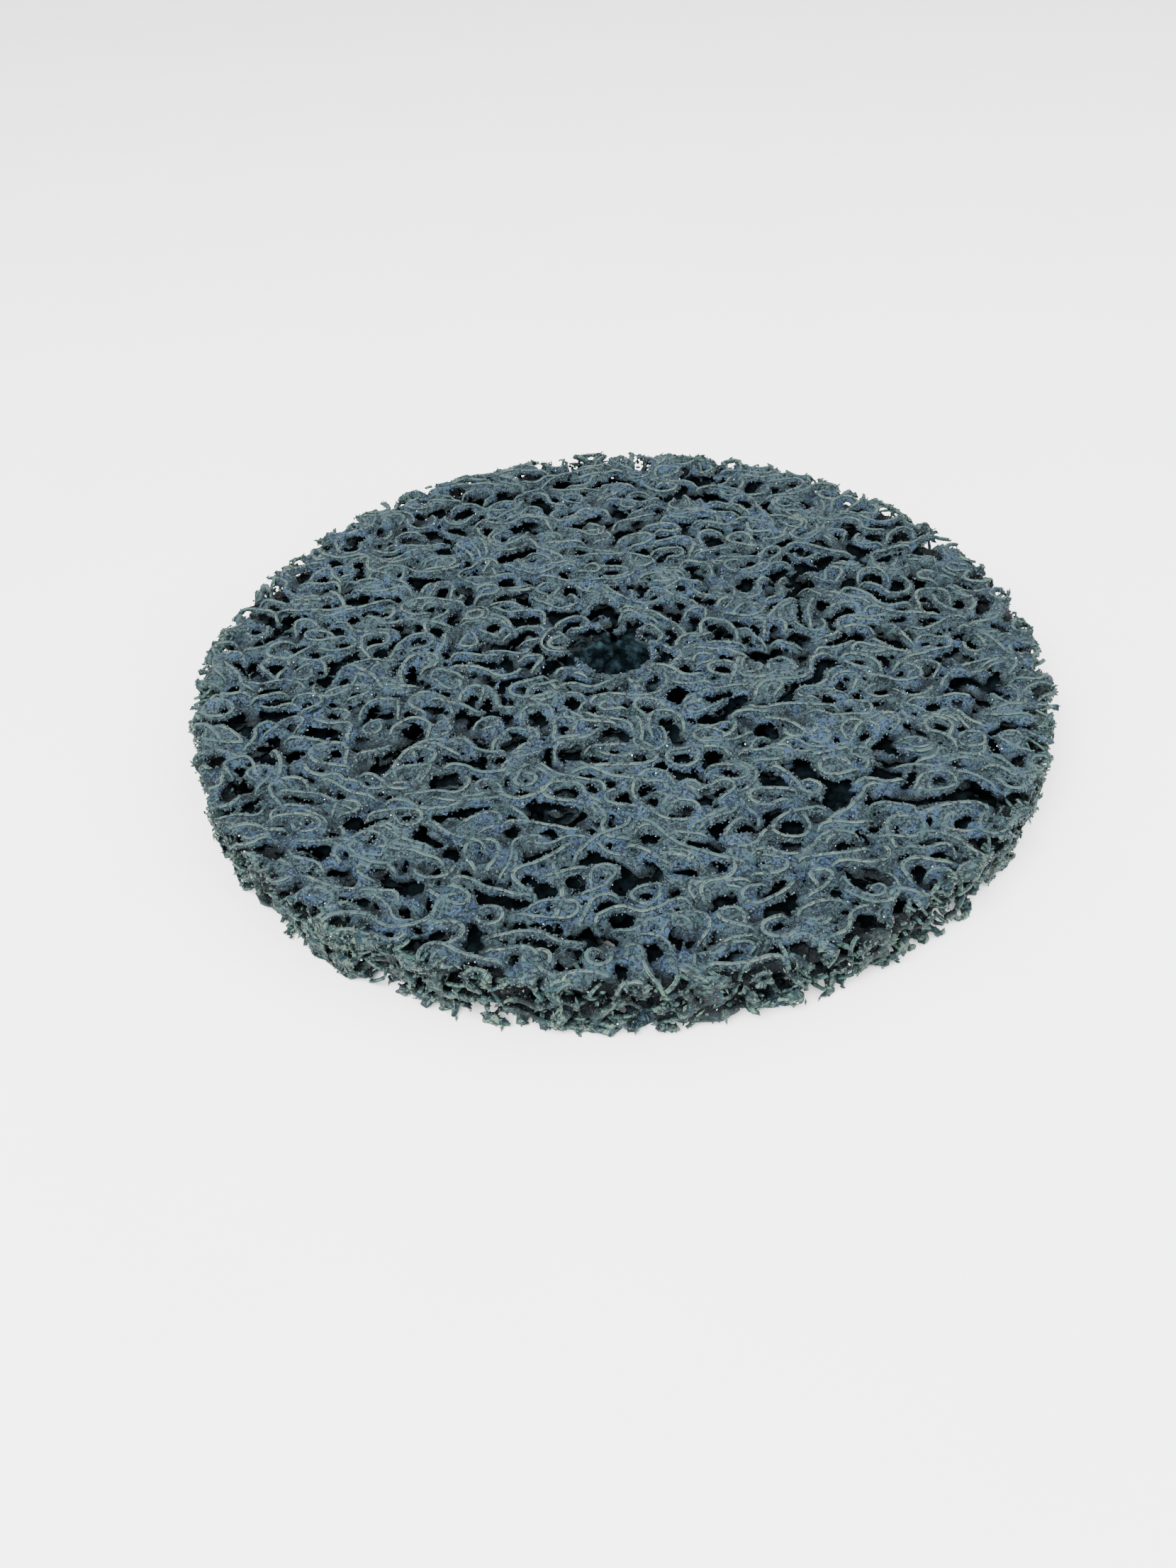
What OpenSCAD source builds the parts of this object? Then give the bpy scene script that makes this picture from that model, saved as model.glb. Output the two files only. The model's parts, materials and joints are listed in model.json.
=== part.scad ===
// Open-web abrasive disc: curled nylon filaments laid in levels, bonded to each
// other by perforated films of resin, with silicon carbide grit beside the face
// filaments. The web is die-cut to a round disc with a plain round bore.
// The origin is the centre of the bore on the lower face, with +Z along the bore.

/* [Disc] */
// Outside diameter of the die-cut web
disc_d = 178; // [178:1:200]
// Thickness over the two filament faces
disc_t = 13; // [12:0.5:14]
// Diameter of the bore for the spindle or mandrel
bore_d = 13; // [10:0.5:14]
// Width of the resin-sealed collar round the bore
collar_w = 1.8; // [1.5:0.1:2.2]

/* [Filaments] */
// Width and height of a coated filament
strand = 1.25; // [1:0.05:1.3]
// Curled filaments in each level
curls = 120; // [80:1:120]
// Cut filament ends round the rim of each level
rim_ends = 36; // [20:1:60]

/* [Resin] */
// Voids in each bond film
voids = 360; // [200:1:360]
// Nicks in the die-cut edge of each bond film
nicks = 72; // [40:1:80]

/* [Grit] */
// Size of one abrasive grain
grain = 0.6; // [0.4:0.05:0.7]

/* [Hidden] */
disc_r = disc_d / 2;
bore_r = bore_d / 2;
collar_r = bore_r + collar_w;

// Filament levels and the films between them fill the thickness.
levels = 7;
films = levels - 1;
film_t = (disc_t - levels * strand) / films;
level_rise = strand + film_t;

// A curl fills a cell of this radius, so that neighbours in one level never cross.
cell_r = 5.85;
// Two curls, or a curl and the collar or the rim band, stay this far apart.
gap = 0.3;
curl_from = collar_r + cell_r + gap;
// The band at the rim is left free of curls for the cut ends.
rim_band = 4.2;
curl_to = disc_r - rim_band - cell_r - gap;
// The die cuts some ends shorter than others, by up to this much.
end_uneven = 1.6;

// Centre-line radii of the bends that make up the curls.
loop_r = cell_r - strand / 2;
s_r = loop_r / 2;
wave_r = loop_r / 3;
spiral_inner_r = 1.9;
spiral_step = loop_r - spiral_inner_r;

// A void is two circles that overlap, inside a cell of radius void_reach.
void_big = 2.4;
void_small = 1.8;
void_reach = 3.4;
void_from = collar_r + void_reach + gap;
// The edge of a film stays whole between its voids and its nicks for this width.
edge_w = 2.2;
void_to = disc_r - void_reach - edge_w;

// A nick is a circle centred just outside the edge.
nick_out = 0.4;
nick_least = 0.7;
nick_spread = 1.1;

fine = 96;
golden = 180 * (3 - sqrt(5));
// Each level, and each film, is turned on from the one below, so that none line up.
filament_turn = 47;
film_turn = 61;

filament_colour = [0.50, 0.60, 0.56];
core_colour = [0.22, 0.30, 0.31];
end_colour = [0.56, 0.68, 0.64];
bond_colour = [0.29, 0.40, 0.50];
grit_colour = [0.10, 0.12, 0.14];

// ---------- Even but irregular placing ----------

// A number from 0 to 1 that looks random and is the same every time.
function scatter(i, k) =
    let (s = sin(i * 744.261 + k * 482.427 + 17) * 43758.5453) s - floor(s);

// Radius of the i-th of n points spread evenly over a disc of radius reach.
function spread_r(i, n, reach) = reach * sqrt((i + 0.5) / n);

// Which of the n points lie outside the radius from.
function kept(n, from, reach) = [for (i = [0 : n - 1]) if (spread_r(i, n, reach) > from) i];

module at_spread(i, n, reach, turn) {
    rotate(i * golden + turn) translate([spread_r(i, n, reach), 0, 0]) children();
}

function level_z(k) = k * level_rise;

// ---------- Filaments ----------

// A bend of filament of square section about the origin, from angle a0 through sweep.
module bend(r, a0, sweep) {
    rotate(a0) rotate_extrude(angle = sweep, $fn = fine)
        translate([r - strand / 2, 0]) square(strand);
}

module open_loop(sweep) {
    bend(loop_r, 0, sweep);
}

module s_curl() {
    translate([-s_r, 0, 0]) bend(s_r, 0, 180);
    translate([s_r, 0, 0]) bend(s_r, 180, 180);
}

// Two half turns and a short tail, each tighter than the last.
module spiral_curl() {
    bend(loop_r, 0, 180);
    translate([-spiral_step / 2, 0, 0]) bend(loop_r - spiral_step / 2, 180, 180);
    translate([loop_r - spiral_step - spiral_inner_r, 0, 0]) bend(spiral_inner_r, 0, 150);
}

module wave_curl() {
    translate([-2 * wave_r, 0, 0]) bend(wave_r, 0, 180);
    bend(wave_r, 180, 180);
    translate([2 * wave_r, 0, 0]) bend(wave_r, 0, 180);
}

module curl(i, k) {
    kind = floor(4 * scatter(i, 10 * k + 1));
    rotate(360 * scatter(i, 10 * k + 2))
        if (kind == 0) open_loop(210 + 80 * scatter(i, 10 * k + 3));
        else if (kind == 1) s_curl();
        else if (kind == 2) spiral_curl();
        else wave_curl();
}

module filaments(k, shade) {
    color(shade) translate([0, 0, level_z(k)])
        for (i = kept(curls, curl_from, curl_to))
            at_spread(i, curls, curl_to, filament_turn * k) curl(i, k);
}

// Straight ends that the die has cut, pointing out of the rim of levels first to last.
module rim_filament_ends(first, last) {
    step = 360 / rim_ends;
    from = disc_r - rim_band;
    color(end_colour)
        for (k = [first : last], i = [0 : rim_ends - 1])
            rotate(step * (i + scatter(i, 10 * k + 4) / 2) + filament_turn * k)
                translate([from, 0, level_z(k) + strand / 2]) rotate([0, 90, 0])
                    cylinder(d = strand, h = rim_band - end_uneven * scatter(i, 10 * k + 5),
                             $fn = fine);
}

// ---------- Resin ----------

module void_shape(i, k) {
    rotate(360 * scatter(i, 10 * k + 6)) {
        translate([void_reach - void_big, 0]) circle(void_big, $fn = fine);
        translate([void_small - void_reach, 0]) circle(void_small, $fn = fine);
    }
}

module film_outline(k) {
    step = 360 / nicks;
    difference() {
        circle(disc_r, $fn = 2 * fine);
        circle(bore_r, $fn = fine);
        for (i = kept(voids, void_from, void_to))
            at_spread(i, voids, void_to, film_turn * k) void_shape(i, k);
        for (i = [0 : nicks - 1])
            rotate(step * (i + 0.5)) translate([disc_r + nick_out, 0])
                circle(nick_least + nick_spread * scatter(i, 10 * k + 7), $fn = fine);
    }
}

// The resin that seals the cut wall of the bore between two heights.
module bore_collar(from, to) {
    translate([0, 0, from]) linear_extrude(to - from) difference() {
        circle(collar_r, $fn = fine);
        circle(bore_r, $fn = fine);
    }
}

// Film k lies on filament level k - 1. Its collar reaches down through that level, and
// the last film's collar goes on up to the face.
module bond_film(k) {
    color(bond_colour) {
        translate([0, 0, level_z(k) - film_t]) linear_extrude(film_t) film_outline(k);
        bore_collar(level_z(k - 1), k == films ? disc_t : level_z(k));
    }
}

// ---------- Grit ----------

// One five-sided grain against the outer side of each curl of a face.
module grit(k) {
    color(grit_colour) translate([0, 0, level_z(k)])
        for (i = kept(curls, curl_from, curl_to))
            at_spread(i, curls, curl_to, filament_turn * k)
                rotate(360 * scatter(i, 10 * k + 8))
                    translate([cell_r, 0, (strand - grain) * scatter(i, 10 * k + 9)])
                        cylinder(d = grain, h = grain, $fn = 5);
}

filaments(0, filament_colour);  // bottom_face_filaments
filaments(1, core_colour);  // core_filaments_1
filaments(2, core_colour);  // core_filaments_2
filaments(3, core_colour);  // core_filaments_3
filaments(4, core_colour);  // core_filaments_4
filaments(5, core_colour);  // core_filaments_5
filaments(6, filament_colour);  // top_face_filaments
bond_film(1);  // bond_film_1
bond_film(2);  // bond_film_2
bond_film(3);  // bond_film_3
bond_film(4);  // bond_film_4
bond_film(5);  // bond_film_5
bond_film(6);  // bond_film_6
rim_filament_ends(0, 2);  // rim_filament_ends_lower
rim_filament_ends(3, 6);  // rim_filament_ends_upper
grit(0);  // bottom_face_grit
grit(6);  // top_face_grit
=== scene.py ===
# An open-web abrasive disc: curled, grit-coated nylon filaments, bonded where they meet and
# die-cut to a round pad with a plain bore. The web is grown as a field on a grid, in
# millimetres, from the paths of some three thousand filaments, and then skinned piece by piece.
import json
import math

import bpy
import numpy as np
from mathutils import Matrix, Vector


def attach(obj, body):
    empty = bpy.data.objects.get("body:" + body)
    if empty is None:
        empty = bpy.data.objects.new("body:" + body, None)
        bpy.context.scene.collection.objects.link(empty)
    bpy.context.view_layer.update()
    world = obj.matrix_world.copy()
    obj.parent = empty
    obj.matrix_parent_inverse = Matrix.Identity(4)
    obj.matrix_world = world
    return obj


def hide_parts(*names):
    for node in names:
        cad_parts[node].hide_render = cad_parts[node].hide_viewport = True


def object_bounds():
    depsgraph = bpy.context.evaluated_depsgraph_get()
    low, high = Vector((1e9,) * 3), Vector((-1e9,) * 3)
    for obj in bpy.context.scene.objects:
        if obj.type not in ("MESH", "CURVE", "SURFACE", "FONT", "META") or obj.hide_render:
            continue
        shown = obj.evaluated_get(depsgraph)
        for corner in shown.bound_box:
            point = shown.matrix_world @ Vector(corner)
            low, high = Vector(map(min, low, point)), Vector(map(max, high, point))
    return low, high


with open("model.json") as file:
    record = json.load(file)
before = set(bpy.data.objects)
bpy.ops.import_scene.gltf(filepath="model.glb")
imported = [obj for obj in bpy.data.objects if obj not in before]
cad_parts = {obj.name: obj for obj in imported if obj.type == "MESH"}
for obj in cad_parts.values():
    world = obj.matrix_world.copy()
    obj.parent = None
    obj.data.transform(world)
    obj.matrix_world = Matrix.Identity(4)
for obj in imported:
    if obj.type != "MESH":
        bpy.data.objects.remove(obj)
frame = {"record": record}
cad_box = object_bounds()

# ---------- Sizes, in millimetres, from the frame ----------

MM = 0.001
LOW, HIGH = (np.array(corner) / MM for corner in cad_box)
DISC_R = float(HIGH[0] - LOW[0]) / 2
DISC_T = float(HIGH[2] - LOW[2])
BORE_R = next(m for m in frame["record"]["mounts"] if m["kind"] == "bore")["dims"]["r_mm"]

GOLDEN = math.pi * (3 - math.sqrt(5))
STEP = 0.33  # spacing of the points along a filament
VOXEL = 0.45  # spacing of the grid
COAT_R = 0.47  # a face filament with its coat of resin
THIN_R = COAT_R - 0.12  # the same in the core and at the rim
BLEND = 0.28  # how far resin bridges two filaments that come close
RAGGED = 1.5  # how far the die-cut rim varies
TORN_SIDE = 1.9  # the direction, in radians, in which the bore's upper edge is torn
TORN_OUT = 4.2  # how far out that tear reaches
GRAIN_SPREAD = 0.6  # how far, in radians, filaments stray from the direction they were laid in
DRAWN = (1.1, 0.9)  # how much they are stretched along that direction, and pressed in across it

rng = np.random.default_rng(438)


# ---------- Filament paths ----------

def bent_path(start, heading, bends):
    """Points along a chain of bends, each a radius and a sweep, about a start point."""
    turn = np.concatenate([
        np.full(max(3, round(abs(radius * sweep) / STEP)), math.copysign(STEP / radius, sweep))
        for radius, sweep in bends
    ])
    angle = heading + np.cumsum(turn)
    xy = STEP * np.cumsum(np.c_[np.cos(angle), np.sin(angle)], axis=0)
    return xy - xy.mean(axis=0) + start


def loop_bends():
    """A long bend, a tight loop and another long bend."""
    side = rng.choice([-1, 1])
    other = rng.choice([-1, 1, side])
    return [
        (rng.uniform(5, 12), side * rng.uniform(0.4, 1.1)),
        (rng.uniform(1.6, 3.3), side * rng.uniform(2.0, 4.4)),
        (rng.uniform(5, 12), other * rng.uniform(0.3, 0.9)),
    ]


def wave_bends():
    """Two or three bends that turn opposite ways."""
    side = rng.choice([-1, 1])
    count = rng.integers(2, 4)
    return [
        (rng.uniform(2.4, 5.5), side * (-1) ** i * rng.uniform(1.2, 2.6)) for i in range(count)
    ]


def sweep_bends():
    """One long, slow curve with a hook at its end."""
    side = rng.choice([-1, 1])
    return [
        (rng.uniform(9, 20), side * rng.uniform(0.5, 1.1)),
        (rng.uniform(1.8, 3.0), -side * rng.uniform(1.0, 3.0)),
    ]


SCATTER = 2.2  # how far a start point strays from its even place


def scattered(count, reach):
    """Even but irregular start points over the disc."""
    i = np.arange(count)
    r = reach * np.sqrt((i + 0.5) / count)
    turn = i * GOLDEN + rng.uniform(0, 0.1)
    return np.c_[r * np.cos(turn), r * np.sin(turn)] + rng.uniform(-SCATTER, SCATTER, (count, 2))


def smooth(edge0, edge1, x):
    t = np.clip((x - edge0) / (edge1 - edge0), 0, 1)
    return t * t * (3 - 2 * t)


def along_grain(xy):
    """Turns a path until its ends lie more or less along X, the way that the web was laid, and
    draws it out a little that way."""
    chord = xy[-1] - xy[0]
    turn = rng.normal(0, GRAIN_SPREAD) - math.atan2(chord[1], chord[0])
    flat = np.array([(math.cos(turn), math.sin(turn)), (-math.sin(turn), math.cos(turn))])
    middle = xy.mean(axis=0)
    return (xy - middle) @ flat * DRAWN + middle


TRIES = 12  # paths tried before the roomiest is laid
CELL = 0.8  # size of a cell of the map of the room that is taken
SPAN = 2 * DISC_R + 30  # width of that map


def roomiest(start, taken):
    """The best of several random paths about a start point: it crosses the fewest laid before."""
    best, least = None, math.inf
    for _ in range(TRIES):
        kind = rng.choice([loop_bends, wave_bends, sweep_bends], p=[0.5, 0.25, 0.25])
        xy = bent_path(start + rng.uniform(-2, 2, 2), 0, kind())
        xy = along_grain(xy if rng.uniform(0, 1) < 0.5 else xy[::-1])
        spot = tuple(np.clip((xy + SPAN / 2) / CELL, 0, len(taken) - 1).astype(int).T)
        cost = taken[spot].mean()
        if cost < least:
            best, least, cells = xy, cost, spot
    for i in (-1, 0, 1):
        for j in (-1, 0, 1):
            np.add.at(taken, tuple(np.clip([cells[0] + i, cells[1] + j], 0, len(taken) - 1)), 0.2)
    return best


def filament(start, height, dive, wander, taken):
    """One filament: it lies near a height, wanders about it, and dives at both ends."""
    xy = roomiest(start, taken)
    along = np.arange(len(xy)) * STEP
    from_end = np.minimum(along, along[-1] - along)
    waves = rng.uniform(5, 11)
    z = height + wander * np.sin(2 * math.pi * along / waves + rng.uniform(0, 2 * math.pi))
    z = z - dive * (1 - smooth(0, rng.uniform(1.8, 3.2), from_end))
    return np.c_[xy, z]


def companion(path):
    """A second filament that runs beside a stretch of the first and parts from it."""
    n = len(path)
    half = rng.integers(9, 18)
    middle = rng.integers(n // 4, 3 * n // 4 + 1)
    part = path[max(0, middle - half):middle + half]
    ahead = np.gradient(part[:, :2], axis=0)
    ahead /= np.linalg.norm(ahead, axis=1)[:, None]
    along = STEP * (np.arange(len(part)) - rng.uniform(0.2, 0.8) * len(part))
    apart = rng.choice([-1, 1]) * (0.95 + 0.055 * along ** 2)
    moved = part.copy()
    moved[:, :2] += np.c_[-ahead[:, 1], ahead[:, 0]] * apart[:, None]
    moved[:, 2] -= rng.uniform(0, 0.25)
    return moved


def level(count, height, spread, dive, wander, paired=0.0):
    """The filaments of one level. paired is the share of them with a companion."""
    paths = []
    taken = np.zeros((int(SPAN / CELL), int(SPAN / CELL)))
    for start in scattered(count, DISC_R + 3):
        high = height + rng.uniform(-spread, spread)
        path = filament(start, high, dive * rng.uniform(0.7, 1.3), wander, taken)
        paths.append(path)
        if rng.uniform(0, 1) < paired and len(path) > 30:
            paths.append(companion(path))
    return paths


def turned_over(paths):
    return [path * [1, 1, -1] + [0, 0, DISC_T] for path in paths]


def rim_strands(count):
    """Short filaments near the rim that the die has cut, at every slope."""
    paths = []
    for i in range(count):
        turn = 2 * math.pi * (i + rng.uniform(0, 1)) / count
        out = DISC_R - rng.uniform(0.5, 7)
        start = out * np.array([math.cos(turn), math.sin(turn)])
        bend = (rng.uniform(2.5, 12), rng.choice([-1, 1]) * rng.uniform(0.4, 1.4))
        xy = bent_path(start, turn + rng.normal(0, 0.9), [bend])
        along = np.linspace(-1, 1, len(xy))
        z = rng.uniform(1.2, DISC_T - 1.2) + along * rng.uniform(-2.6, 2.6)
        paths.append(np.c_[xy, np.clip(z, 0.6, DISC_T - 0.8)])
    return paths


def stubs(count):
    """Bare ends that stick out of the rim at every height, all cut off by the die."""
    paths = []
    for i in range(count):
        turn = 2 * math.pi * (i + rng.uniform(0, 1)) / count
        start = (DISC_R - rng.uniform(1.2, 3)) * np.array([math.cos(turn), math.sin(turn)])
        bend = (rng.uniform(1.5, 6), rng.choice([-1, 1]) * rng.uniform(0.5, 1.2))
        xy = bent_path(start, turn + rng.normal(0, 0.8), [bend])
        slope = rng.uniform(-1.6, 1.6) * np.linspace(-1, 1, len(xy))
        z = rng.uniform(0.7, DISC_T - 0.9) + slope
        paths.append(np.c_[xy, np.clip(z, 0.5, DISC_T - 0.7)])
    return paths


def bore_strands(count):
    """Filaments that pass round the bore, at every height."""
    paths = []
    for i in range(count):
        turn = i * GOLDEN
        start = (BORE_R + rng.uniform(0.2, 2.5)) * np.array([math.cos(turn), math.sin(turn)])
        xy = bent_path(start, turn + math.pi / 2 + rng.normal(0, 0.5), [(BORE_R + 1.5, 1.2)])
        height = DISC_T * (i + 0.5) / count
        z = height + rng.uniform(-1.5, 1.5) * np.linspace(-1, 1, len(xy))
        paths.append(np.c_[xy, np.clip(z, 0.7, DISC_T - 1)])
    return paths


CREST = DISC_T - 0.66  # centre height of the highest face filaments
FACE_LEVEL = dict(height=CREST - 0.35, spread=0.35, dive=2.2, wander=0.18, paired=0.25)
UNDER_LEVEL = dict(height=CREST - 2.1, spread=0.4, dive=-1.2, wander=0.6)
top_face = level(540, **FACE_LEVEL)
top_under = level(200, **UNDER_LEVEL)
bottom_face = turned_over(level(500, **FACE_LEVEL))
bottom_under = turned_over(level(180, **UNDER_LEVEL))
CORE_LEVELS = (3.4, 5.0, 6.6, 8.2, 9.8)
PER_LEVEL = 230
core = [
    path for height in CORE_LEVELS
    for path in level(PER_LEVEL, height, spread=0.8, dive=0.8, wander=1.3)
]
rim_cut = rim_strands(300)
bore_round = bore_strands(36)
rim_stubs = stubs(900)


# ---------- The field ----------

PAD = 2  # cells of empty grid round the disc
ORIGIN = np.array([-DISC_R, -DISC_R, 0]) - PAD * VOXEL
SHAPE = tuple(np.ceil((np.array([2 * DISC_R, 2 * DISC_R, DISC_T]) / VOXEL) + 2 * PAD).astype(int) + 1)
AXES = [ORIGIN[a] + VOXEL * np.arange(SHAPE[a]) for a in range(3)]
X, Y = np.meshgrid(AXES[0], AXES[1], indexing="ij")
RADIUS = np.hypot(X, Y).astype(np.float32)
ANGLE = np.arctan2(Y, X)


def add_filaments(total, paths, radius):
    """Adds exp((radius - distance) / BLEND) round every point of the paths."""
    points = np.concatenate(paths)
    out = np.hypot(points[:, 0], points[:, 1])
    points = points[(out < DISC_R + 1.5) & (out > BORE_R - 1.5)]
    cell = (points - ORIGIN) / VOXEL
    base = np.rint(cell).astype(np.int64)
    reach = 4  # in cells
    keep = np.all((base >= reach) & (base < np.array(SHAPE) - reach), axis=1)
    edge = ~keep
    span = np.arange(-reach, reach + 1)
    for chosen, clip in ((keep, False), (edge, True)):
        b, c = base[chosen], cell[chosen]
        for dx in span:
            for dy in span:
                for dz in span:
                    if dx * dx + dy * dy + dz * dz > (reach + 0.4) ** 2:
                        continue
                    at = b + (dx, dy, dz)
                    far = at - c
                    value = np.exp((radius - VOXEL * np.sqrt((far * far).sum(1))) / BLEND)
                    if clip:
                        ok = np.all((at >= 0) & (at < SHAPE), axis=1)
                        at, value = at[ok], value[ok]
                    flat = (at[:, 0] * SHAPE[1] + at[:, 1]) * SHAPE[2] + at[:, 2]
                    np.add.at(total, flat, value)


def upsampled(coarse, axis, positions, ease=False):
    """An array read along one axis at fractional positions. ease rounds the slopes off."""
    low = np.clip(np.floor(positions).astype(int), 0, coarse.shape[axis] - 2)
    t = np.clip(positions - low, 0, 1)
    if ease:
        t = t * t * (3 - 2 * t)
    form = [1] * coarse.ndim
    form[axis] = -1
    t = t.reshape(form).astype(np.float32)
    return coarse.take(low, axis) * (1 - t) + coarse.take(low + 1, axis) * t


def value_noise(scale, seed, dims=3):
    """Smooth random values from -1 to 1 over the grid, with features about scale mm across."""
    own = np.random.default_rng(seed)
    sizes = [int(SHAPE[a] * VOXEL / scale) + 3 for a in range(dims)]
    coarse = own.uniform(-1, 1, sizes).astype(np.float32)
    for a in range(dims):
        coarse = upsampled(coarse, a, np.arange(SHAPE[a]) * VOXEL / scale, True)
    return coarse


def blurred(flat, sigma):
    """A Gaussian blur of a 2-D array over the grid, sigma in mm."""
    fx = np.fft.fftfreq(flat.shape[0], VOXEL)[:, None]
    fy = np.fft.rfftfreq(flat.shape[1], VOXEL)[None, :]
    soft = np.exp(-2 * (math.pi * sigma) ** 2 * (fx ** 2 + fy ** 2))
    return np.fft.irfft2(np.fft.rfft2(flat) * soft, flat.shape)


def film(paths, sag, cover, seed):
    """A film of resin in the dense parts of a level, as the height of its middle and a margin
    that is positive where there is film. cover is the share of the disc that it covers."""
    points = np.concatenate(paths)
    cell = np.rint((points[:, :2] - ORIGIN[:2]) / VOXEL).astype(int)
    ok = np.all((cell >= 0) & (cell < SHAPE[:2]), axis=1)
    flat = cell[ok, 0] * SHAPE[1] + cell[ok, 1]
    size = SHAPE[0] * SHAPE[1]
    count = np.bincount(flat, minlength=size).reshape(SHAPE[:2]).astype(float)
    lift = np.bincount(flat, points[ok, 2], minlength=size).reshape(SHAPE[:2])
    dense = blurred(count, 0.9)
    wide = blurred(count, 1.5) + 1e-6
    height = blurred(lift, 1.5) / wide - sag
    margin = dense / dense.mean()
    margin = margin + 0.35 * value_noise(3.2, seed, 2) + 0.26 * value_noise(1.2, seed + 1, 2)
    margin = margin - np.quantile(margin[RADIUS < DISC_R], 1 - cover)
    margin = margin - 1.2 * smooth(DISC_R - 7, DISC_R - 1, RADIUS)
    slope = np.mean(np.abs(np.diff(margin[:, SHAPE[1] // 2]))) / VOXEL
    return height.astype(np.float32), (margin / max(slope, 1e-3) * 0.5).astype(np.float32)


FILM_REACH = 1.2  # a film adds nothing further than this from its surface


def add_film(total, sheet, thick):
    """Adds a film of some thickness to the field."""
    height, margin = sheet
    for k in range(SHAPE[2]):
        gap = np.abs(AXES[2][k] - height) - thick / 2
        near = gap < FILM_REACH
        if near.any():
            away = np.maximum(gap[near], -margin[near])
            layer = total.reshape(SHAPE)[:, :, k]
            layer[near] += np.exp(-away / BLEND)


LINE_GAIN = 3.5  # a row of points adds this many times what one of them does
FACE_SAG, FACE_COVER, FACE_FILM = 0.42, 0.66, 0.5  # how low a film hangs, its share, thickness
CORE_COVER, CORE_FILM = 0.42, 0.8

total = np.zeros(SHAPE[0] * SHAPE[1] * SHAPE[2], np.float32)
add_filaments(total, top_face + bottom_face, COAT_R)
total /= LINE_GAIN
strand_field = (-BLEND * np.log(total + 1e-9)).reshape(SHAPE).astype(np.float32)
rest = np.zeros_like(total)
add_filaments(rest, top_under + bottom_under + core + rim_cut + bore_round, THIN_R)
total += rest / LINE_GAIN
del rest
add_film(total, film(top_face, FACE_SAG, FACE_COVER, 11), FACE_FILM)
add_film(total, film(bottom_face, -FACE_SAG, FACE_COVER, 21), FACE_FILM)
for n in range(len(CORE_LEVELS)):
    one = core[n * PER_LEVEL:(n + 1) * PER_LEVEL]
    add_film(total, film(one, 0, CORE_COVER, 31 + 10 * n), CORE_FILM)


def add_flaps(total, size, seed, thick, cover, zone):
    """Torn, curved flaps of resin within a zone, where a smooth noise passes through zero."""
    sheet = np.abs(value_noise(size, seed)) * 0.55 * size - thick / 2
    here = value_noise(1.6 * size, seed + 1) - (1 - 2 * cover)
    away = np.maximum(np.maximum(sheet, -here * size), zone)
    total += np.exp(-away / BLEND).ravel()


HEIGHT = np.broadcast_to(AXES[2], SHAPE).astype(np.float32)
RIM_FLAPS = 5.0  # how far in from the rim its torn flaps begin
near_rim = np.maximum(DISC_R - RIM_FLAPS - RADIUS[:, :, None], HEIGHT - DISC_T + 1)
add_flaps(total, 2.6, 61, 0.35, 0.40, near_rim)
DEEP, RIM_CLEAR = 3.6, 4  # the core's flaps stay this far from the faces and from the rim
deep_zone = np.maximum(np.abs(HEIGHT - DISC_T / 2) - DISC_T / 2 + DEEP,
                       RADIUS[:, :, None] - DISC_R + RIM_CLEAR)
add_flaps(total, 3.6, 71, 1.1, 0.55, deep_zone)

# The bore's wall is sealed by lumpy resin, which lies closer to the bore at both faces.
lumps = 1.5 * value_noise(3.4, 84) + 1.3 * value_noise(1.7, 85)
loose = smooth(1, 5, HEIGHT) * smooth(DISC_T - 1.5, DISC_T - 4.5, HEIGHT)
lining = RADIUS[:, :, None] - BORE_R - 0.9 - 1.1 * loose + (0.2 + 0.7 * loose) * lumps
lining = np.abs(lining) - 0.8
total += np.exp(-np.maximum(lining, HEIGHT - DISC_T + 0.8) / BLEND).ravel()
field = (-BLEND * np.log(total + 1e-9)).reshape(SHAPE).astype(np.float32)
del total

# Grit roughens the web, and less so on the face filaments and at the cut rim.
grit_zone = smooth(-0.35, 0.25, strand_field).astype(np.float32)
rim_zone = smooth(DISC_R - 5, DISC_R - 1, RADIUS).astype(np.float32)[:, :, None]
field += 0.14 * value_noise(1.7, 51)
bore_zone = smooth(BORE_R + 4, BORE_R + 2, RADIUS).astype(np.float32)[:, :, None]
rough_zone = grit_zone * (1 - 0.6 * rim_zone)
field += (0.08 + 0.12 * rough_zone + 0.35 * bore_zone * grit_zone) * value_noise(0.9, 52)
grains_noise = np.random.default_rng(53).uniform(-1, 1, SHAPE).astype(np.float32)
field += (0.02 + 0.11 * rough_zone) * grains_noise

# The two faces are pressed flat, and the rim and the bore are cut by a die.
ROUND = np.cos(7 * ANGLE) + np.sin(13 * ANGLE + 1) + np.cos(29 * ANGLE + 2)
rim = DISC_R - 0.25 - RAGGED * (0.5 + 0.16 * ROUND + 0.7 * value_noise(3.0, 54, 2))
rim = np.minimum(rim, DISC_R - 0.1)
wavy = 0.9 * np.abs(value_noise(2.6, 55, 2))
# The upper edge of the bore is torn away on one side.
torn = TORN_OUT * smooth(-0.1, 0.9, np.cos(ANGLE - TORN_SIDE) + 0.9 * value_noise(2.2, 56, 2))
sides = np.maximum(RADIUS - rim, BORE_R + wavy + torn - RADIUS).astype(np.float32)
for k in range(SHAPE[2]):
    z = AXES[2][k]
    faces = max(z - (DISC_T - 0.05), 0.05 - z)
    bore = BORE_R + 0.1 + wavy * smooth(0.5, 4, z) + torn * smooth(DISC_T - 4.5, DISC_T - 1.5, z)
    cut = np.maximum(np.maximum(RADIUS - rim, bore - RADIUS), faces)
    field[:, :, k] = np.maximum(field[:, :, k], cut)


# ---------- Skinning ----------

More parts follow.
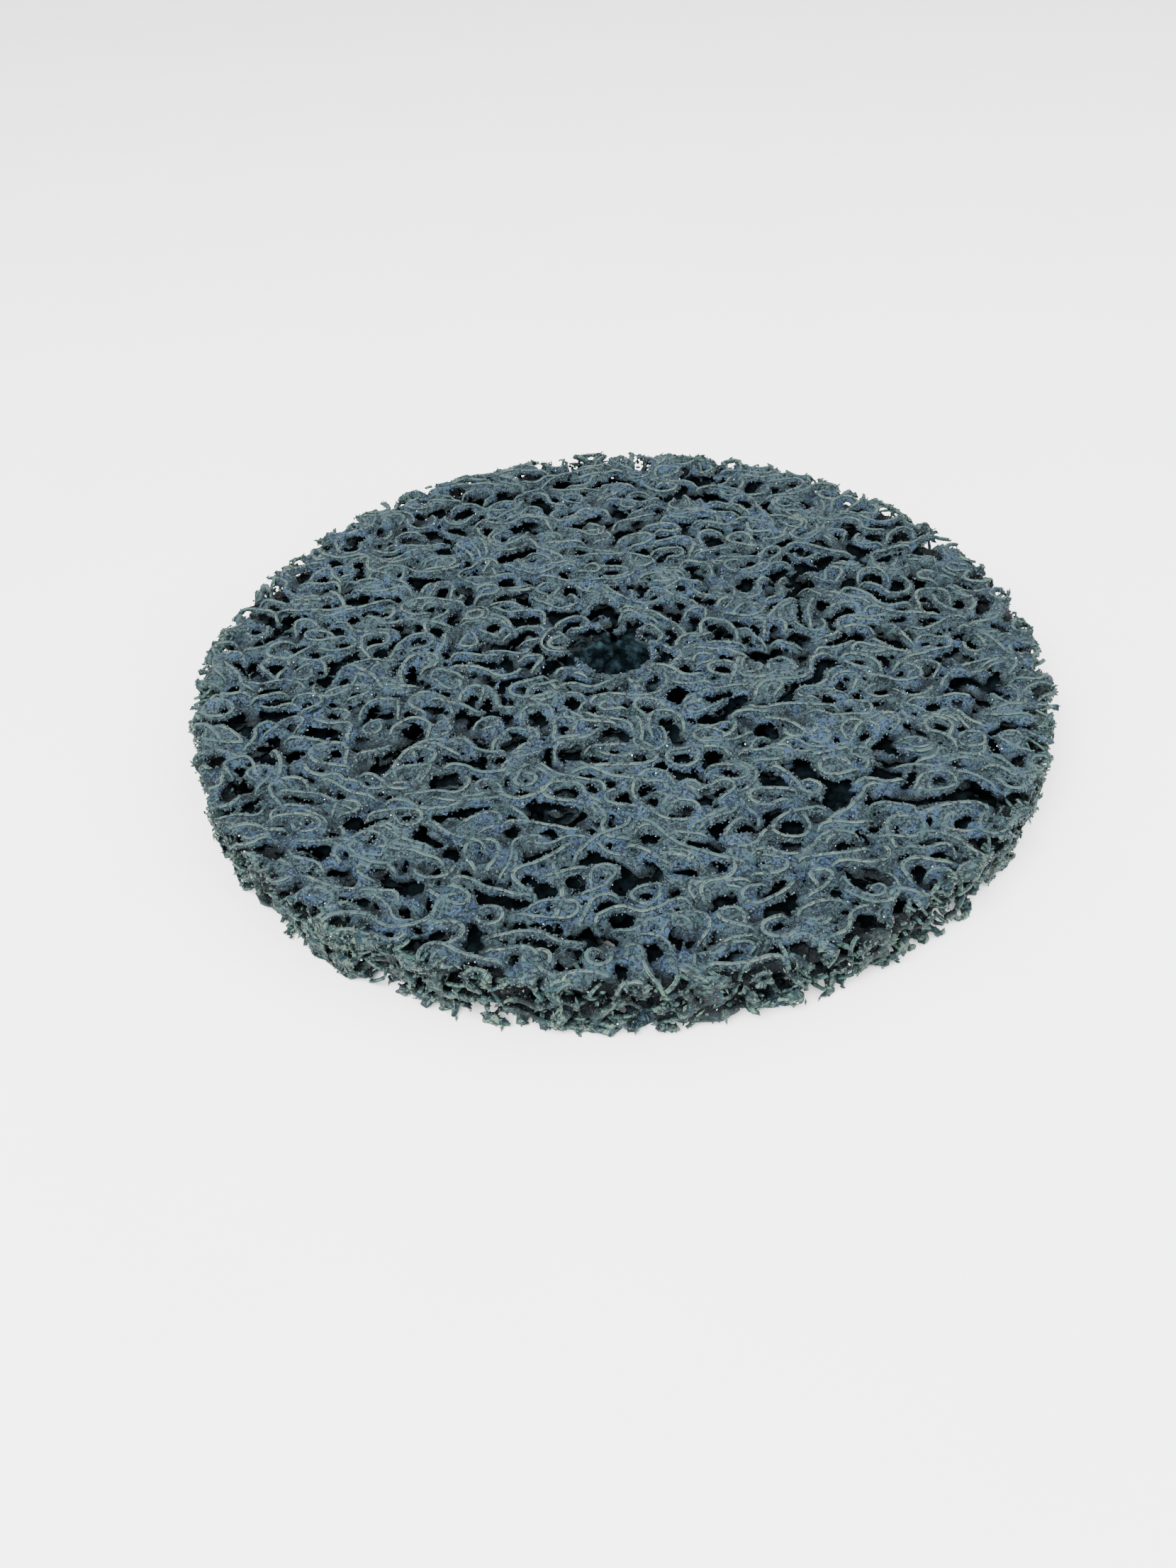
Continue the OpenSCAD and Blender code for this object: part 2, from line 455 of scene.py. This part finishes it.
def surface_net(f, origin, voxel):
    """Vertices and quads of the surface f = 0: one vertex in each cell that it crosses."""
    inside = f < 0
    corners = [
        inside[i:f.shape[0] - 1 + i, j:f.shape[1] - 1 + j, k:f.shape[2] - 1 + k]
        for i in (0, 1) for j in (0, 1) for k in (0, 1)
    ]
    crossed = np.logical_or.reduce(corners) & ~np.logical_and.reduce(corners)
    cells = np.argwhere(crossed)
    where = np.full(crossed.shape, -1, np.int32)
    where[crossed] = np.arange(len(cells))
    place = np.zeros((len(cells), 3), np.float32)
    hits = np.zeros(len(cells), np.float32)
    for axis in range(3):
        side = [a for a in range(3) if a != axis]
        for p in (0, 1):
            for q in (0, 1):
                a = cells.copy()
                a[:, side[0]] += p
                a[:, side[1]] += q
                b = a.copy()
                b[:, axis] += 1
                fa, fb = f[tuple(a.T)], f[tuple(b.T)]
                cross = (fa < 0) != (fb < 0)
                t = np.where(cross, fa / np.where(cross, fa - fb, 1), 0)
                spot = a - cells + np.eye(3)[axis] * t[:, None]
                place[cross] += spot[cross]
                hits += cross
    verts = origin + voxel * (cells + place / hits[:, None])
    quads = []
    for axis in range(3):
        u, v = [(1, 2), (2, 0), (0, 1)][axis]
        low = [slice(None)] * 3
        low[axis], low[u], low[v] = slice(None, -1), slice(1, -1), slice(1, -1)
        high = list(low)
        high[axis] = slice(1, None)
        a, b = inside[tuple(low)], inside[tuple(high)]
        for chosen, flip in ((a & ~b, False), (b & ~a, True)):
            e = np.argwhere(chosen)
            e[:, u] += 1
            e[:, v] += 1
            ring = []
            for du, dv in ((-1, -1), (0, -1), (0, 0), (-1, 0)):
                c = e.copy()
                c[:, u] += du
                c[:, v] += dv
                ring.append(where[tuple(c.T)])
            quads.append(np.stack(ring[::-1] if flip else ring, axis=1))
    return verts, np.concatenate(quads)


def without_specks(verts, quads, least):
    """Drops what isn't joined to at least that many vertices."""
    label = np.arange(len(verts))
    edges = np.concatenate([quads[:, [i, (i + 1) % 4]] for i in range(4)])
    while True:
        low = np.minimum(label[edges[:, 0]], label[edges[:, 1]])
        new = label.copy()
        np.minimum.at(new, edges[:, 0], low)
        np.minimum.at(new, edges[:, 1], low)
        new = new[new]
        if (new == label).all():
            break
        label = new
    keep = np.bincount(label, minlength=len(verts))[label] >= least
    number = np.cumsum(keep) - 1
    return verts[keep], number[quads[keep[quads[:, 0]]]]


def make_piece(name, verts, faces, material, attributes=None):
    """A mesh piece from millimetre points and faces that all have the same corner count."""
    mesh = bpy.data.meshes.new(name)
    corners = faces.shape[1]
    mesh.vertices.add(len(verts))
    mesh.vertices.foreach_set("co", (np.asarray(verts) * MM).astype(np.float32).ravel())
    mesh.loops.add(faces.size)
    mesh.loops.foreach_set("vertex_index", faces.astype(np.int32).ravel())
    mesh.polygons.add(len(faces))
    mesh.polygons.foreach_set("loop_start", np.arange(0, faces.size, corners, dtype=np.int32))
    mesh.polygons.foreach_set("use_smooth", np.ones(len(faces), bool))
    mesh.update(calc_edges=True)
    for key, values in (attributes or {}).items():
        layer = mesh.attributes.new(key, "FLOAT", "POINT")
        layer.data.foreach_set("value", np.asarray(values, np.float32))
    mesh.materials.append(material)
    piece = bpy.data.objects.new(name, mesh)
    bpy.context.collection.objects.link(piece)
    return piece


def sampled(grid, verts, origin, voxel):
    """The grid's values at points, by linear interpolation."""
    p = (verts - origin) / voxel
    low = np.clip(np.floor(p).astype(int), 0, np.array(grid.shape) - 2)
    t = (p - low).astype(np.float32)
    value = 0
    for i in (0, 1):
        for j in (0, 1):
            for k in (0, 1):
                w = (t[:, 0] if i else 1 - t[:, 0]) * (t[:, 1] if j else 1 - t[:, 1])
                w = w * (t[:, 2] if k else 1 - t[:, 2])
                value = value + w * grid[low[:, 0] + i, low[:, 1] + j, low[:, 2] + k]
    return value


def box_blur(grid, half, axis):
    """A running mean of 2 * half + 1 samples along one axis."""
    pad = [(0, 0)] * 3
    pad[axis] = (half + 1, half)
    run = np.cumsum(np.pad(grid, pad, mode="edge"), axis=axis, dtype=np.float32)
    ahead = [slice(None)] * 3
    behind = [slice(None)] * 3
    ahead[axis], behind[axis] = slice(2 * half + 1, None), slice(None, -(2 * half + 1))
    return (run[tuple(ahead)] - run[tuple(behind)]) / (2 * half + 1)


def vertex_normals(verts, quads):
    """The mean direction of the faces round each vertex."""
    a, b, c, d = (verts[quads[:, i]] for i in range(4))
    face = np.cross(c - a, d - b)
    total = np.zeros_like(verts)
    for i in range(4):
        np.add.at(total, quads[:, i], face)
    return total / (np.linalg.norm(total, axis=1)[:, None] + 1e-9)


# How much web there is within about 1.5 mm of a point: low on a crest, high in a pocket. The resin's
# colour is painted darker where it is high, as shade.
crowd = (field < 0).astype(np.float32)
for _ in range(2):
    for a in range(3):
        crowd = box_blur(crowd, 2, a)


def buried(verts):
    """How deep points lie under the nearest face or the rim, in millimetres. The way in from
    the rim counts one and a half times. The resin's colour is painted darker with it, as shade."""
    depth = np.minimum(verts[:, 2], DISC_T - verts[:, 2])
    return np.minimum(depth, 1.5 * (DISC_R - np.hypot(verts[:, 0], verts[:, 1])))


# ---------- Materials ----------

def wire(tree, start, end):
    tree.links.new(start, end)


def noise(tree, where, size, detail=2.0):
    """A noise whose features are about size millimetres across, as a value from 0 to 1."""
    made = tree.nodes.new("ShaderNodeTexNoise")
    made.inputs["Scale"].default_value = 1 / (size * MM)
    made.inputs["Detail"].default_value = detail
    wire(tree, where, made.inputs["Vector"])
    return made.outputs["Fac"]


def ramp(tree, value, stops):
    """A colour ramp over (position, colour) stops. A number stands for a grey."""
    made = tree.nodes.new("ShaderNodeValToRGB")
    ends = made.color_ramp.elements
    while len(ends) < len(stops):
        ends.new(0.5)
    for end, (position, colour) in zip(ends, stops):
        end.position = position
        end.color = (colour, colour, colour, 1) if isinstance(colour, float) else (*colour, 1)
    wire(tree, value, made.inputs["Fac"])
    return made.outputs["Color"]


def mixed(tree, amount, first, second):
    """first where amount is 0, second where it is 1. Either may be a colour."""
    made = tree.nodes.new("ShaderNodeMix")
    made.data_type = "RGBA"
    wire(tree, amount, made.inputs["Factor"])
    for value, socket in ((first, made.inputs["A"]), (second, made.inputs["B"])):
        if isinstance(value, tuple):
            socket.default_value = (*value, 1)
        else:
            wire(tree, value, socket)
    return made.outputs["Result"]


def maths(tree, operation, first, second=0.0):
    made = tree.nodes.new("ShaderNodeMath")
    made.operation = operation
    made.use_clamp = True
    for value, socket in ((first, made.inputs[0]), (second, made.inputs[1])):
        if isinstance(value, float):
            socket.default_value = value
        else:
            wire(tree, value, socket)
    return made.outputs[0]


def attribute(tree, name):
    made = tree.nodes.new("ShaderNodeAttribute")
    made.attribute_name = name
    return made.outputs["Fac"]


def bump(tree, height, depth, shader):
    """Raises the surface by height times depth millimetres."""
    made = tree.nodes.new("ShaderNodeBump")
    made.inputs["Distance"].default_value = depth * MM
    wire(tree, height, made.inputs["Height"])
    wire(tree, made.outputs["Normal"], shader.inputs["Normal"])


def roughened(tree, where, shader, size, low, high, detail=2.0):
    """Roughness from low to high, in patches about size millimetres across."""
    patches = ramp(tree, noise(tree, where, size, detail), [(0.3, low), (0.7, high)])
    wire(tree, patches, shader.inputs["Roughness"])


def new_material(name):
    material = bpy.data.materials.new(name)
    material.use_nodes = True
    tree = material.node_tree
    return material, tree, tree.nodes["Principled BSDF"]


def object_place(tree):
    return tree.nodes.new("ShaderNodeTexCoord").outputs["Object"]


# The resin's colours: a near black for the painted shade in its pockets and deep in the web, which also
# darkens its dull patches, three shades of it, two at the cut rim, and two of grit.
SHADE_AND_DULL_TONE = (0.0012, 0.0026, 0.0036)
SLATE = (0.023, 0.039, 0.047)
STEEL = (0.024, 0.045, 0.076)
TEAL = (0.020, 0.042, 0.042)
BOTTLE = (0.008, 0.025, 0.028)
SAGE = (0.078, 0.128, 0.092)
STONE = (0.090, 0.115, 0.100)
SOOT = (0.004, 0.006, 0.008)


def granules(tree, where, size):
    """Cells about size millimetres across: a random value for each, and the distance inside."""
    made = tree.nodes.new("ShaderNodeTexVoronoi")
    made.inputs["Scale"].default_value = 1 / (size * MM)
    wire(tree, where, made.inputs["Vector"])
    split = tree.nodes.new("ShaderNodeSeparateColor")
    wire(tree, made.outputs["Color"], split.inputs["Color"])
    return split.outputs["Red"], split.outputs["Green"], made.outputs["Distance"]


def gritty(tree, place, body, dark_share, pale_share):
    """Lays dark and pale grains over a colour. Returns that and the distance inside a grain."""
    kind, shade, distance = granules(tree, place, 0.42)
    clumps = ramp(tree, noise(tree, place, 1.4, 2), [(0.35, 0.0), (0.62, 0.35)])
    kind = maths(tree, "SUBTRACT", kind, clumps)
    dark = ramp(tree, kind, [(dark_share - 0.06, 0.8), (dark_share + 0.06, 0.0)])
    body = mixed(tree, dark, body, SOOT)
    pale = ramp(tree, shade, [(1 - pale_share, 0.0), (1.02 - pale_share, 0.8)])
    return mixed(tree, pale, body, STONE), distance


def share_of_radius(tree, place):
    """How far out a point lies: 0 at the axis of the disc, 1 at its rim."""
    across = tree.nodes.new("ShaderNodeVectorMath")
    across.operation = "MULTIPLY"
    across.inputs[1].default_value = (1 / (DISC_R * MM), 1 / (DISC_R * MM), 0)
    wire(tree, place, across.inputs[0])
    length = tree.nodes.new("ShaderNodeVectorMath")
    length.operation = "LENGTH"
    wire(tree, across.outputs[0], length.inputs[0])
    return length.outputs["Value"]


def resin_material():
    """Blue-grey resin full of grit, greener towards the cut rim and darker in dull patches, with painted
    shade darkening it in the pockets and deep under the faces and the rim.
    """
    material, tree, shader = new_material("resin_with_grit")
    place = object_place(tree)
    blue = ramp(tree, noise(tree, place, 5, 3), [(0.47, 0.0), (0.58, 1.0)])
    body = mixed(tree, blue, SLATE, STEEL)
    worn = ramp(tree, noise(tree, place, 2.0, 3), [(0.50, 0.0), (0.66, 0.8)])
    body = mixed(tree, worn, body, TEAL)
    near_rim = ramp(tree, share_of_radius(tree, place), [(0.95, 0.0), (0.99, 0.85)])
    flecks = ramp(tree, noise(tree, place, 1.3, 2), [(0.48, 0.0), (0.60, 1.0)])
    green = mixed(tree, flecks, BOTTLE, SAGE)
    body = mixed(tree, near_rim, body, green)
    dull = ramp(tree, noise(tree, place, 16, 1), [(0.40, 0.30), (0.58, 0.0)])
    body = mixed(tree, dull, body, SHADE_AND_DULL_TONE)
    body, distance = gritty(tree, place, body, 0.20, 0.012)
    # Painted shade: the colour goes near black in the pockets, where the web is crowded, and deep under
    # the faces and the rim.
    pocket = ramp(tree, attribute(tree, "crowd"), [(0.55, 0.0), (0.85, 0.9)])
    body = mixed(tree, pocket, body, SHADE_AND_DULL_TONE)
    wobble = maths(tree, "MULTIPLY", noise(tree, place, 3), 0.06)
    depth = maths(tree, "ADD", attribute(tree, "depth"), wobble)
    deep = ramp(tree, depth, [(0.15, 0.0), (0.26, 1.0)])
    body = mixed(tree, deep, body, SHADE_AND_DULL_TONE)
    wire(tree, body, shader.inputs["Base Color"])
    roughened(tree, place, shader, 0.8, 0.38, 0.85)
    shader.inputs["Specular IOR Level"].default_value = 0.12
    grainy = maths(tree, "MULTIPLY", maths(tree, "SUBTRACT", 1.0, distance), 0.5)
    pitted = maths(tree, "MULTIPLY", noise(tree, place, 0.6, 4), 0.5)
    bump(tree, maths(tree, "ADD", grainy, pitted), 0.5, shader)
    return material


def painted_shade_material(name, dark, light):
    """The same resin and filament deep in the web, where hardly any light comes, painted near black as
    the shade there.
    """
    material, tree, shader = new_material(name)
    place = object_place(tree)
    tone = ramp(tree, noise(tree, place, 2.5, 3), [(0.45, dark), (0.75, light)])
    wire(tree, tone, shader.inputs["Base Color"])
    roughened(tree, place, shader, 1.0, 0.75, 0.95)
    shader.inputs["Specular IOR Level"].default_value = 0.02
    bump(tree, noise(tree, place, 0.7, 3), 0.4, shader)
    return material


def filament_material(name, line, between, coat_share, grit_share):
    """A filament worn pale along fine lines, with resin and grit caught between them."""
    material, tree, shader = new_material(name)
    place = object_place(tree)
    crest = ramp(tree, attribute(tree, "lane"), [(0.30, 0.0), (0.85, 1.0)])
    tone = mixed(tree, ramp(tree, noise(tree, place, 3.5), [(0.4, 0.0), (0.65, 1.0)]), TEAL, line)
    body = mixed(tree, crest, between, tone)
    stops = [(0.64 - coat_share, 0.0), (0.74 - coat_share, 0.9)]
    patch = ramp(tree, noise(tree, place, 1.5, 3), stops)
    body = mixed(tree, patch, body, SLATE)
    body, distance = gritty(tree, place, body, grit_share, 0.01)
    wire(tree, body, shader.inputs["Base Color"])
    roughened(tree, place, shader, 0.7, 0.35, 0.7)
    shader.inputs["Specular IOR Level"].default_value = 0.2
    grainy = maths(tree, "MULTIPLY", distance, 0.3)
    bump(tree, maths(tree, "SUBTRACT", noise(tree, place, 0.5, 3), grainy), 0.25, shader)
    return material


def grain_material(name, colour, low, high):
    """Silicon carbide: each grain a slightly different shade."""
    material, tree, shader = new_material(name)
    place = object_place(tree)
    lighter = tuple(2.2 * c for c in colour)
    shade = ramp(tree, noise(tree, place, 0.8, 0), [(0.35, colour), (0.65, lighter)])
    wire(tree, shade, shader.inputs["Base Color"])
    roughened(tree, place, shader, 1.1, low, high, 0)
    bump(tree, noise(tree, place, 0.15, 1), 0.05, shader)
    return material


def floor_material():
    material, tree, shader = new_material("paper_floor")
    place = object_place(tree)
    white = ramp(tree, noise(tree, place, 40), [(0.3, 0.91), (0.7, 0.93)])
    wire(tree, white, shader.inputs["Base Color"])
    shader.inputs["Roughness"].default_value = 0.9
    return material


# ---------- Materials of the pieces ----------

resin = resin_material()
# The web's core and the bore's wall: the same resin, its colour painted dark as the shade deep in the
# web and down the bore.
core_resin_painted_shade = painted_shade_material("dark_core_painted_shade", (0.0006, 0.0012, 0.0016), (0.003, 0.007, 0.009))
bore_resin_painted_shade = painted_shade_material("bore_wall_painted_shade", (0.001, 0.003, 0.004), (0.014, 0.028, 0.035))
worn = filament_material("worn_filament", (0.084, 0.112, 0.080), (0.022, 0.042, 0.045), 0.07, -0.03)
sheared = filament_material("sheared_filament", (0.098, 0.150, 0.104), (0.014, 0.040, 0.038),
                            0.08, 0.12)
black_grain = grain_material("black_grit", (0.006, 0.008, 0.010), 0.3, 0.7)
resin_grain = grain_material("coated_grit", (0.013, 0.023, 0.028), 0.4, 0.8)
bright_grain = grain_material("bright_grit", (0.45, 0.50, 0.50), 0.1, 0.3)


# ---------- Pieces ----------

def place_piece(piece):
    """Every piece is on the one body."""
    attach(piece, "root")
    return piece


def skinned(name, bottom, top, spacing, least, material, wedge=None):
    """The web between two heights, closed where it is cut, with a vertex about every spacing
    millimetres. wedge is a 2-D field that limits it across the disc. Returns the piece, its
    points and their normals."""
    low = max(0, int(round((bottom - ORIGIN[2]) / VOXEL)))
    high = min(SHAPE[2], int(round((top - ORIGIN[2]) / VOXEL)) + 1)
    part = field[:, :, low:high].copy()
    if wedge is not None:
        part = np.maximum(part, wedge[:, :, None])
    if spacing != VOXEL:
        for a in range(3):
            part = upsampled(part, a, np.arange(0, part.shape[a] - 1, spacing / VOXEL))
    for a in range(3):
        for end in (0, -1):
            cap = [slice(None)] * 3
            cap[a] = end
            part[tuple(cap)] = np.maximum(part[tuple(cap)], 0.5 * spacing)
    verts, quads = surface_net(part, ORIGIN + VOXEL * np.array([0, 0, low]), spacing)
    verts, quads = without_specks(verts, quads, least)
    # crowd and depth steer the painted shade in the resin's colour.
    piece = make_piece(name, verts, quads, material, {
        "crowd": sampled(crowd, verts, ORIGIN, VOXEL),
        "depth": buried(verts) / DISC_T,
    })
    return place_piece(piece), verts, vertex_normals(verts, quads)


# A filament's section, across and up: three crests with shallow grooves between them.
SECTION = np.array([
    (-0.46, -0.16), (-0.38, 0.06), (-0.26, 0.18), (-0.14, 0.15), (0, 0.23), (0.14, 0.15),
    (0.26, 0.18), (0.38, 0.06), (0.46, -0.16), (0.28, -0.30), (-0.28, -0.30),
])
# How far each corner of the section lies on a worn line.
LANE = np.array([0, 0.3, 1.0, 0.0, 0.6, 0.0, 1.0, 0.3, 0, 0, 0])


TRIM = 0.15  # tubes stop this far short of the cut edges
SHORTEST = 6  # points in the shortest stretch that becomes a tube


def runs_inside(path):
    """The stretches of a path that lie inside the die-cut edge and outside the bore."""
    cell = np.clip(np.rint((path[:, :2] - ORIGIN[:2]) / VOXEL).astype(int), 0, np.array(SHAPE[:2]) - 1)
    inside = sides[cell[:, 0], cell[:, 1]] < -TRIM
    edges = np.flatnonzero(np.diff(np.r_[0, inside.astype(int), 0]))
    return [path[a:b] for a, b in zip(edges[::2], edges[1::2]) if b - a >= SHORTEST]


def tubes(name, paths, lift, size, material, stride=2, blunt=0.0):
    """Filaments as closed tubes of the section above, lifted towards their face, with a ring at
    every stride-th point. Their ends taper, or stay as wide as blunt says."""
    verts, faces, lanes = [], [], []
    count = len(SECTION)
    start = 0
    up_sign = 1 if lift > 0 else -1
    for whole in paths:
        for path in runs_inside(whole):
            line = path[::stride]
            own = size * rng.uniform(0.8, 1.25)
            ahead = np.gradient(line, axis=0)
            ahead /= np.linalg.norm(ahead, axis=1)[:, None]
            across = np.cross(ahead, [0, 0, up_sign])
            across /= np.linalg.norm(across, axis=1)[:, None] + 1e-9
            up = np.cross(across, ahead)
            n = len(line)
            ends = smooth(-0.3, 2.0, np.minimum(np.arange(n), np.arange(n)[::-1]))
            ends = np.maximum(ends, blunt)
            wide = own * (0.45 + 0.55 * ends) * (1 + 0.10 * rng.uniform(-1, 1, n))
            middle = line + up * (abs(lift) * ends)[:, None]
            ring = (middle[:, None, :]
                    + across[:, None, :] * (SECTION[:, 0] * wide[:, None])[:, :, None]
                    + up[:, None, :] * (SECTION[:, 1] * wide[:, None])[:, :, None])
            verts.append(ring.reshape(-1, 3))
            verts.append(middle[[0, -1]])
            lanes.append(np.r_[np.tile(LANE, n), 0.5, 0.5])
            i = start + count * np.arange(n - 1)[:, None] + np.arange(count)
            j = start + count * np.arange(n - 1)[:, None] + (np.arange(count) + 1) % count
            faces.append(np.stack([i, i + count, j], -1).reshape(-1, 3))
            faces.append(np.stack([j, i + count, j + count], -1).reshape(-1, 3))
            first = start + np.arange(count)
            step = start + (np.arange(count) + 1) % count
            last = count * (n - 1)
            tip = start + count * n
            faces.append(np.stack([first, step, np.full(count, tip)], -1))
            faces.append(np.stack([step + last, first + last, np.full(count, tip + 1)], -1))
            start += count * n + 2
    verts = np.concatenate(verts)
    verts[:, 2] = np.clip(verts[:, 2], 0.03, DISC_T - 0.03)
    lane = {"lane": np.concatenate(lanes)}
    return place_piece(make_piece(name, verts, np.concatenate(faces), material, lane))


GRIT_CLEAR = 0.3  # no grain is stuck to the web nearer than this to a face

# A grain is an eight-sided shard.
SHARD = np.array([(1, 0, 0), (-1, 0, 0), (0, 1, 0), (0, -1, 0), (0, 0, 1), (0, 0, -1)])
SHARD_FACES = np.array([
    (0, 2, 4), (2, 1, 4), (1, 3, 4), (3, 0, 4), (2, 0, 5), (1, 2, 5), (3, 1, 5), (0, 3, 5),
])


def grains(name, verts, normals, weight, count, small, large, material, flat=1.0):
    """Angular grains from small to large across, stuck to the web at random, as weight says.
    flat below 1 makes flakes of them."""
    want = np.maximum(weight, 0)
    want[(verts[:, 2] > DISC_T - GRIT_CLEAR) | (verts[:, 2] < GRIT_CLEAR)] = 0
    chosen = rng.choice(len(verts), count, replace=False, p=want / want.sum())
    size = rng.uniform(small, large, (count, 1, 1)) / 2
    stretch = rng.uniform(0.6, 1.3, (count, 1, 3)) * [1 + (1 - flat), flat + 0.2 * (1 - flat), flat]
    spin, _ = np.linalg.qr(rng.normal(size=(count, 3, 3)))
    spin *= np.sign(np.linalg.det(spin))[:, None, None]
    shape = np.einsum("nij,nkj->nki", spin, SHARD * stretch * size)
    spot = verts[chosen] + normals[chosen] * size[:, 0] * 0.5
    points = (shape + spot[:, None, :]).reshape(-1, 3)
    points[:, 2] = np.clip(points[:, 2], 0.01, DISC_T - 0.01)
    out = np.hypot(points[:, 0], points[:, 1])
    points[:, :2] *= np.minimum(1, (DISC_R - 0.01) / out)[:, None]
    faces = (SHARD_FACES + 6 * np.arange(count)[:, None, None]).reshape(-1, 3)
    piece = make_piece(name, points, faces, material, {"lane": np.full(len(points), 0.6)})
    piece.data.polygons.foreach_set("use_smooth", np.zeros(len(faces), bool))
    return place_piece(piece)


CORE_LOW, CORE_HIGH = 2.6, DISC_T - 2.8
RIM_IN = DISC_R - 7
BORE_OUT = BORE_R + 5
SEAM = 0.6  # how far one piece of the web reaches into the next
ABOVE, BELOW = DISC_T + 1, -1
FINE, MEDIUM, COARSE = VOXEL, 0.6, 0.9
# The lower face's web and the core's lie between the rim's and the bore's.
between = np.maximum(RADIUS - RIM_IN - SEAM, BORE_OUT - RADIUS)

top, top_verts, top_normals = skinned("top_web", CORE_HIGH - SEAM, ABOVE, FINE, 60, resin)
ring, ring_verts, ring_normals = skinned("rim_web", BELOW, CORE_HIGH, FINE, 60, resin,
                                         wedge=RIM_IN - RADIUS)
bottom, bottom_verts, bottom_normals = skinned("bottom_web", BELOW, CORE_LOW + SEAM, MEDIUM, 40,
                                               resin, wedge=between)
inner = skinned("core_web", CORE_LOW, CORE_HIGH, COARSE, 30, core_resin_painted_shade,
                between)[0]
sleeve = skinned("bore_web", BELOW, CORE_HIGH, FINE, 30, bore_resin_painted_shade,
                 wedge=RADIUS - BORE_OUT - SEAM)[0]
upper = tubes("top_filaments", top_face, 0.42, 0.78, worn)
lower = tubes("bottom_filaments", bottom_face, -0.42, 0.88, worn, stride=3)
ends = tubes("rim_ends", rim_cut + rim_stubs, 0.15, 0.9, sheared, blunt=0.9)

# Grit sits on the flanks of the filaments near a face, and on the rim.
GRIT_DEPTH = 2.2
GRIT_RIM = 3.5
sources = np.concatenate([top_verts, ring_verts])
normals = np.concatenate([top_normals, ring_normals])
steep = 1.15 - np.abs(normals[:, 2])
flank = steep * (sources[:, 2] > DISC_T - GRIT_DEPTH)
at_rim = 1.0 * (np.hypot(sources[:, 0], sources[:, 1]) > DISC_R - GRIT_RIM)
under_flank = (1.15 - np.abs(bottom_normals[:, 2])) * (bottom_verts[:, 2] < GRIT_DEPTH)
dark_grit = grains("black_grains", sources, normals, flank + 0.8 * at_rim, 13000, 0.25, 0.6,
                   black_grain)
grains("coated_grains", sources, normals, flank, 13000, 0.3, 0.6, resin_grain)
grains("bright_grains", sources, normals, flank + 0.5 * at_rim, 380, 0.2, 0.42, bright_grain)
under_dark = grains("under_grains", bottom_verts, bottom_normals, under_flank, 7000, 0.3, 0.6,
                    black_grain)
grains("rim_shreds", sources, normals, at_rim, 1800, 0.5, 1.4, sheared, flat=0.5)

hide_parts("bond_film_6")
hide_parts("bond_film_5")
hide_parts("top_face_filaments")
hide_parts("bond_film_1")
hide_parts("bottom_face_filaments")
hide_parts("rim_filament_ends_lower", "rim_filament_ends_upper")
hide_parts("core_filaments_1", "core_filaments_2", "core_filaments_3",
            "core_filaments_4", "core_filaments_5", "bond_film_2", "bond_film_3", "bond_film_4")
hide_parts("top_face_grit")
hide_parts("bottom_face_grit")

# ---------- Studio ----------

FLOOR_HALF = 3.0
floor_mesh = bpy.data.meshes.new("floor")
corners = [(-FLOOR_HALF, -FLOOR_HALF, 0), (FLOOR_HALF, -FLOOR_HALF, 0),
           (FLOOR_HALF, FLOOR_HALF, 0), (-FLOOR_HALF, FLOOR_HALF, 0)]
floor_mesh.from_pydata(corners, [], [(0, 1, 2, 3)])
floor_mesh.materials.append(floor_material())
floor = bpy.data.objects.new("floor", floor_mesh)
bpy.context.collection.objects.link(floor)

world = bpy.data.worlds.new("studio")
bpy.context.scene.world = world
world.use_nodes = True
world.node_tree.nodes["Background"].inputs["Color"].default_value = (1, 1, 1, 1)
world.node_tree.nodes["Background"].inputs["Strength"].default_value = 2.3


def soft_box(name, place, size, power):
    lamp = bpy.data.lights.new(name, "AREA")
    lamp.energy = power
    lamp.size = size
    box = bpy.data.objects.new(name, lamp)
    bpy.context.collection.objects.link(box)
    box.location = place
    box.rotation_euler = (-Vector(place)).to_track_quat("-Z", "Y").to_euler()


soft_box("key", (-0.30, -0.50, 0.80), 0.7, 34)
soft_box("fill", (0.60, -0.20, 0.50), 0.8, 9)

# The camera looks at the disc from in front and above, and is then turned a little off it.
LENS = 27.67
ELEVATION, PAN, TILT, ROLL = (math.radians(a) for a in (37.72, 1.57, -5.08, 2.18))
AWAY = 2.907 * DISC_R * MM
camera_data = bpy.data.cameras.new("camera")
camera_data.lens = LENS
camera = bpy.data.objects.new("camera", camera_data)
bpy.context.collection.objects.link(camera)
bpy.context.scene.camera = camera
middle = Vector((0, 0, DISC_T * MM / 2))
camera.location = middle + AWAY * Vector((0, -math.cos(ELEVATION), math.sin(ELEVATION)))
aim = (middle - camera.location).to_track_quat("-Z", "Y").to_matrix()
aim = aim @ Matrix.Rotation(PAN, 3, "Y") @ Matrix.Rotation(TILT, 3, "X") @ Matrix.Rotation(-ROLL, 3, "Z")
camera.rotation_euler = aim.to_euler()
